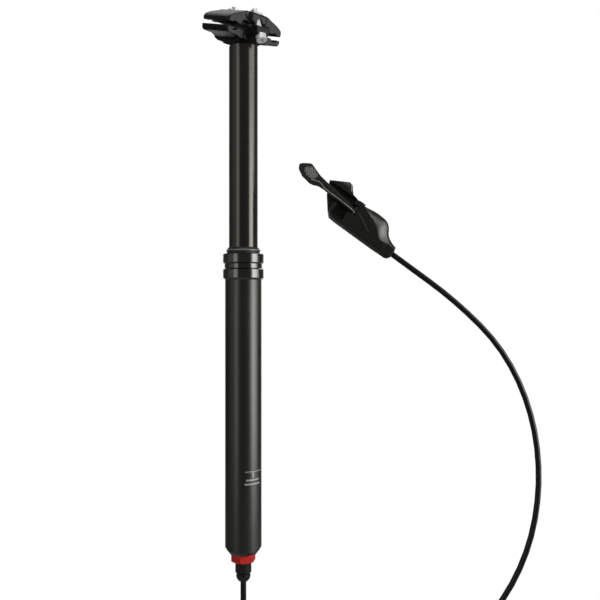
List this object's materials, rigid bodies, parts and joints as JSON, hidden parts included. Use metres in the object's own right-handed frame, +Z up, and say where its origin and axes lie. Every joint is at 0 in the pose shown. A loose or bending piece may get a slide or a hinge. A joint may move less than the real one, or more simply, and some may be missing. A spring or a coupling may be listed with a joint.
{
  "type": "dropper seatpost",
  "caption": "Hydraulic dropper seatpost with telescoping black stanchion, two-bolt saddle clamp, red hose coupling, coiled hose and thumb lever remote.",
  "frame": {"origin": "on the post's axis at the collar's underside, where the seat tube's rim sits", "axes": "+X is the bicycle's forward direction, +Y its left side and +Z runs up the post to the saddle"},
  "size_m": [0.2097, 0.2181, 0.6069],
  "materials": {
    "tube_black": "satin black anodised",
    "collar_black": "gloss black anodised",
    "stanchion_black": "gloss black anodised, slightly brown",
    "head_grey": "satin dark grey, forged",
    "bolt_steel": "bright, satin",
    "nut_steel": "bright, satin",
    "wiper_rubber": "matt",
    "ring_pale": "satin",
    "foam_grey": "open foam",
    "bushing_polymer": "matt",
    "seal_rubber": "matt",
    "inner_aluminium": "machined",
    "shaft_chrome": "polished",
    "valve_brass": "machined",
    "coupler_red": "red anodised",
    "connector_black": "gloss",
    "hose_black": "smooth, half gloss",
    "tie_black": "matt",
    "remote_black": "moulded, half gloss",
    "lever_black": "satin black anodised",
    "pin_black": "black oxide",
    "spring_steel": "bright"
  },
  "bodies": {
    "lower": {"outer_tube": "tube_black", "collar": "collar_black", "dust_wiper": "wiper_rubber", "wiper_spring_ring": "ring_pale", "wiping_ring": "foam_grey", "upper_bushing": "bushing_polymer", "foot_plug": "tube_black", "bottom_buffer": "seal_rubber", "inner_shaft": "shaft_chrome", "main_piston": "inner_aluminium", "glide_band": "bushing_polymer", "coupler_nut": "coupler_red", "hose_connector": "connector_black", "hose_post_side": "hose_black", "hose_coil": "hose_black", "hose_remote_side": "hose_black", "hose_ties": "tie_black", "remote_body": "remote_black", "bleed_screw": "pin_black", "hose_nut": "pin_black", "pivot_pin": "pin_black", "return_spring": "spring_steel", "expansion_bladder": "seal_rubber"},
    "inner_post": {"stanchion": "stanchion_black", "head": "head_grey", "lower_bushing": "bushing_polymer", "anti_rotation_keys": "bushing_polymer", "seal_head": "inner_aluminium", "shaft_seal": "seal_rubber", "top_out_buffer": "seal_rubber", "inner_tube": "inner_aluminium", "tube_cap": "inner_aluminium", "air_valve": "valve_brass"},
    "floating_piston": {"floating_piston": "inner_aluminium", "floating_seals": "seal_rubber"},
    "poppet": {"poppet_valve": "shaft_chrome"},
    "saddle_clamp": {"lower_cradle": "head_grey", "upper_clamp": "head_grey"},
    "front_bolt": {"front_bolt": "bolt_steel", "front_washer": "bolt_steel"},
    "rear_bolt": {"rear_bolt": "bolt_steel", "rear_washer": "bolt_steel"},
    "front_nut": {"front_barrel_nut": "nut_steel"},
    "rear_nut": {"rear_barrel_nut": "nut_steel"},
    "lever": {"lever": "lever_black"},
    "master_piston": {"master_piston": "inner_aluminium", "master_seal": "seal_rubber"}
  },
  "joints": [
    {"name": "post_travel", "type": "slide", "parent": "lower", "child": "inner_post", "axis": [0, 0, 1], "range_m": [-0.175, 0], "stiffness_N_per_m": 300, "springref_m": 0.35},
    {"name": "floating_piston_slide", "type": "slide", "parent": "inner_post", "child": "floating_piston", "axis": [0, 0, 1], "range_m": [0, 0.04786]},
    {"name": "poppet_lift", "type": "slide", "parent": "lower", "child": "poppet", "axis": [0, 0, 1], "range_m": [0, 0.0015]},
    {"name": "clamp_tilt", "type": "hinge", "parent": "inner_post", "child": "saddle_clamp", "pos_m": [0, 0, 0.2164], "axis": [0, 1, 0], "range_deg": [-5, 5]},
    {"name": "front_bolt_rock", "type": "hinge", "parent": "inner_post", "child": "front_bolt", "pos_m": [0.02507, 0, 0.20016], "axis": [0, 1, 0], "range_deg": [-0.6, 0.6]},
    {"name": "rear_bolt_rock", "type": "hinge", "parent": "inner_post", "child": "rear_bolt", "pos_m": [-0.02213, 0, 0.20933], "axis": [0, 1, 0], "range_deg": [-2.47, 2.47]},
    {"name": "front_nut_turn", "type": "hinge", "parent": "saddle_clamp", "child": "front_nut", "pos_m": [0.0168, 0, 0.22502], "axis": [0, 1, 0], "range_deg": [-4.5, 4.5]},
    {"name": "rear_nut_turn", "type": "hinge", "parent": "saddle_clamp", "child": "rear_nut", "pos_m": [-0.01377, 0, 0.23448], "axis": [0, 1, 0], "range_deg": [-2.63, 2.63]},
    {"name": "lever_press", "type": "hinge", "parent": "lower", "child": "lever", "pos_m": [0.0692, 0.06504, 0.05491], "axis": [-0.4112, -0.4259, -0.8059], "range_deg": [0, 16.01], "stiffness_Nm_per_rad": 0.15, "springref_deg": -17.19},
    {"name": "master_piston_slide", "type": "slide", "parent": "lower", "child": "master_piston", "axis": [0.5598, 0.5797, -0.592], "range_m": [0, 0.00168], "deforming": ["return_spring"]}
  ],
  "couplings": [
    {"joint": "floating_piston_slide", "follows": "post_travel", "ratio": -0.27235},
    {"joint": "lever_press", "follows": "master_piston_slide", "rad_per_m": 166.67},
    {"joint": "poppet_lift", "follows": "master_piston_slide", "ratio": 0.8952},
    {"joint": "front_bolt_rock", "follows": "clamp_tilt", "ratio": 0.1097},
    {"joint": "rear_bolt_rock", "follows": "clamp_tilt", "ratio": 0.48338},
    {"joint": "front_nut_turn", "follows": "clamp_tilt", "ratio": -0.8903},
    {"joint": "rear_nut_turn", "follows": "clamp_tilt", "ratio": -0.51662}
  ]
}
